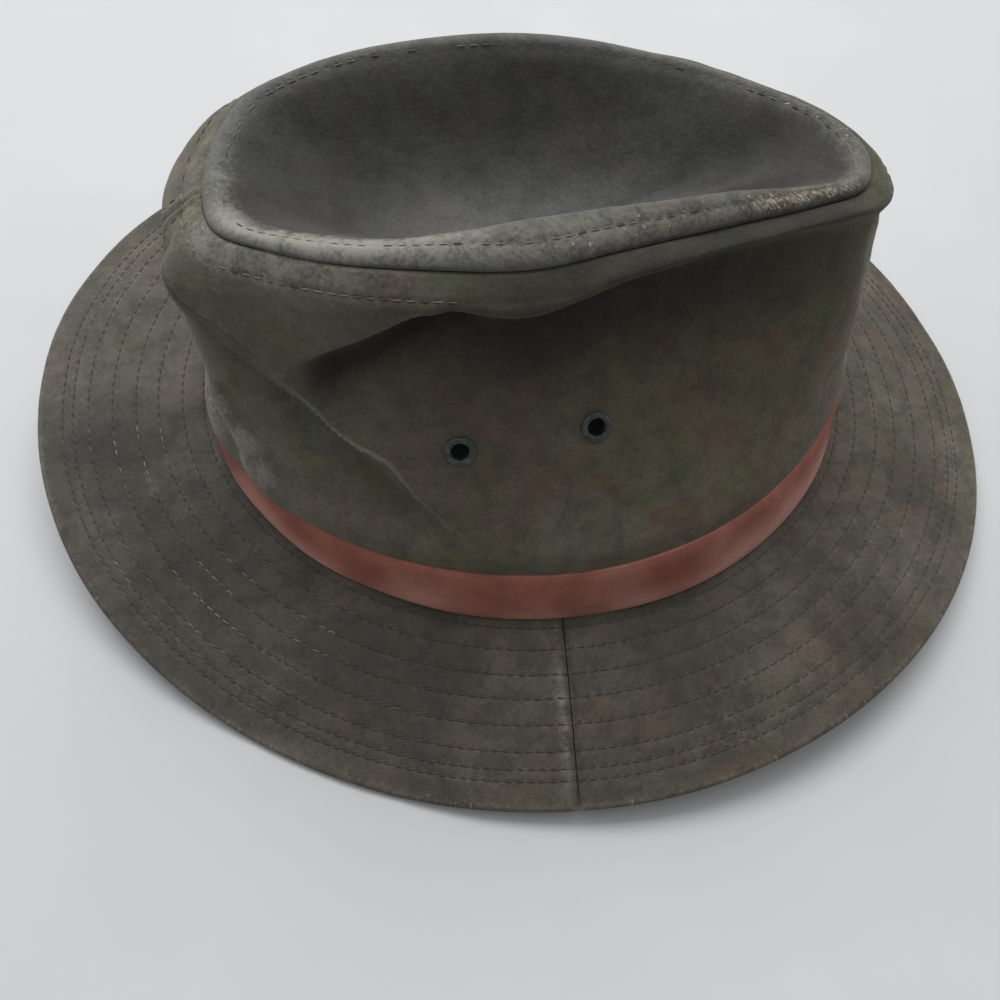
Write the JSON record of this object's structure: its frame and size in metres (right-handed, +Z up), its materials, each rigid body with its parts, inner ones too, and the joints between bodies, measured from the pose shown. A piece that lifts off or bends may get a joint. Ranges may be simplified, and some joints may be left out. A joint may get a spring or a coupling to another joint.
{
  "type": "soft leather bush hat",
  "caption": "Cut and sewn leather bush hat with a dished teardrop crown, a brown leather band, metal eyelets and a stitched brim, resting on its brim",
  "frame": {"origin": "middle of the hat's own box, on the surface that the brim rests on", "axes": "+X the hat's front, +Y the wearer's left, +Z up out of the crown"},
  "size_m": [0.3196, 0.2814, 0.1283],
  "materials": {
    "tip_leather": "matt napped leather, dark olive grey, rubbed pale along the rim",
    "wall_leather": "matt napped leather, olive brown, mottled and creased",
    "brim_leather": "matt napped leather, olive grey, with rows of stitching",
    "band_leather": "smooth matt reddish brown leather",
    "eyelet_metal": "dull grey green metal"
  },
  "bodies": {
    "root": {"crown_tip": "tip_leather", "crown_side": "wall_leather", "brim_front": "brim_leather", "brim_back": "brim_leather", "hat_band": "band_leather", "eyelet_right_front": "eyelet_metal", "eyelet_right_rear": "eyelet_metal", "eyelet_left_front": "eyelet_metal", "eyelet_left_rear": "eyelet_metal"}
  },
  "joints": []
}
